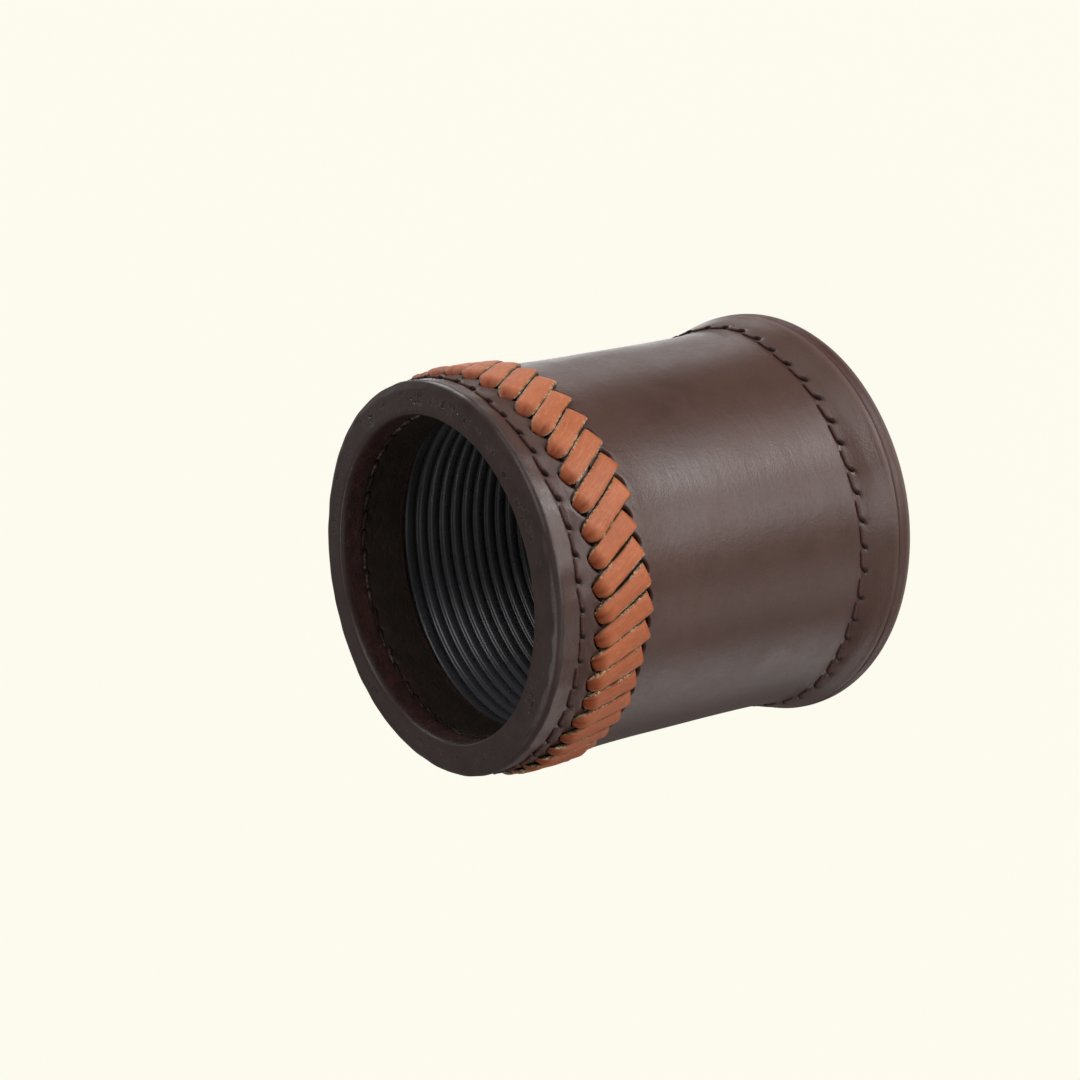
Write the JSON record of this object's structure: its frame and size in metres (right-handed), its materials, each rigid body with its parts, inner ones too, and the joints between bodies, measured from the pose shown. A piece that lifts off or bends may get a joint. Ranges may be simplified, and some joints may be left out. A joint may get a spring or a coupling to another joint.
{
  "type": "dice cup",
  "caption": "Round leather dice cup with a folded and stitched lip, a laced band, a ribbed rubber lining and a flared base.",
  "frame": {"origin": "centre of the base's underside, where the cup stands", "axes": "+Z along the cup's axis out of the mouth; the upright seams are on the +Y side"},
  "size_m": [0.1008, 0.1008, 0.103],
  "materials": {
    "brown_leather": "smooth, semi-gloss, fine grain",
    "sole_leather": "thick sole leather with a burnished edge",
    "tan_lace": "smooth flat lace, satin",
    "black_rubber": "ribbed, satin",
    "dark_thread": "waxed twisted thread",
    "fibre_board": "raw pressed board",
    "leather_packing": "raw split leather"
  },
  "bodies": {
    "root": {"body_sleeve": "brown_leather", "mouth_binding": "brown_leather", "lip_packing": "leather_packing", "wall_tube": "fibre_board", "ribbed_liner": "black_rubber", "lace": "tan_lace", "mouth_thread": "dark_thread", "base_thread": "dark_thread", "seam_thread": "dark_thread", "base_bead": "leather_packing", "base_sole": "sole_leather", "base_board": "fibre_board", "floor_pad": "black_rubber"}
  },
  "joints": []
}
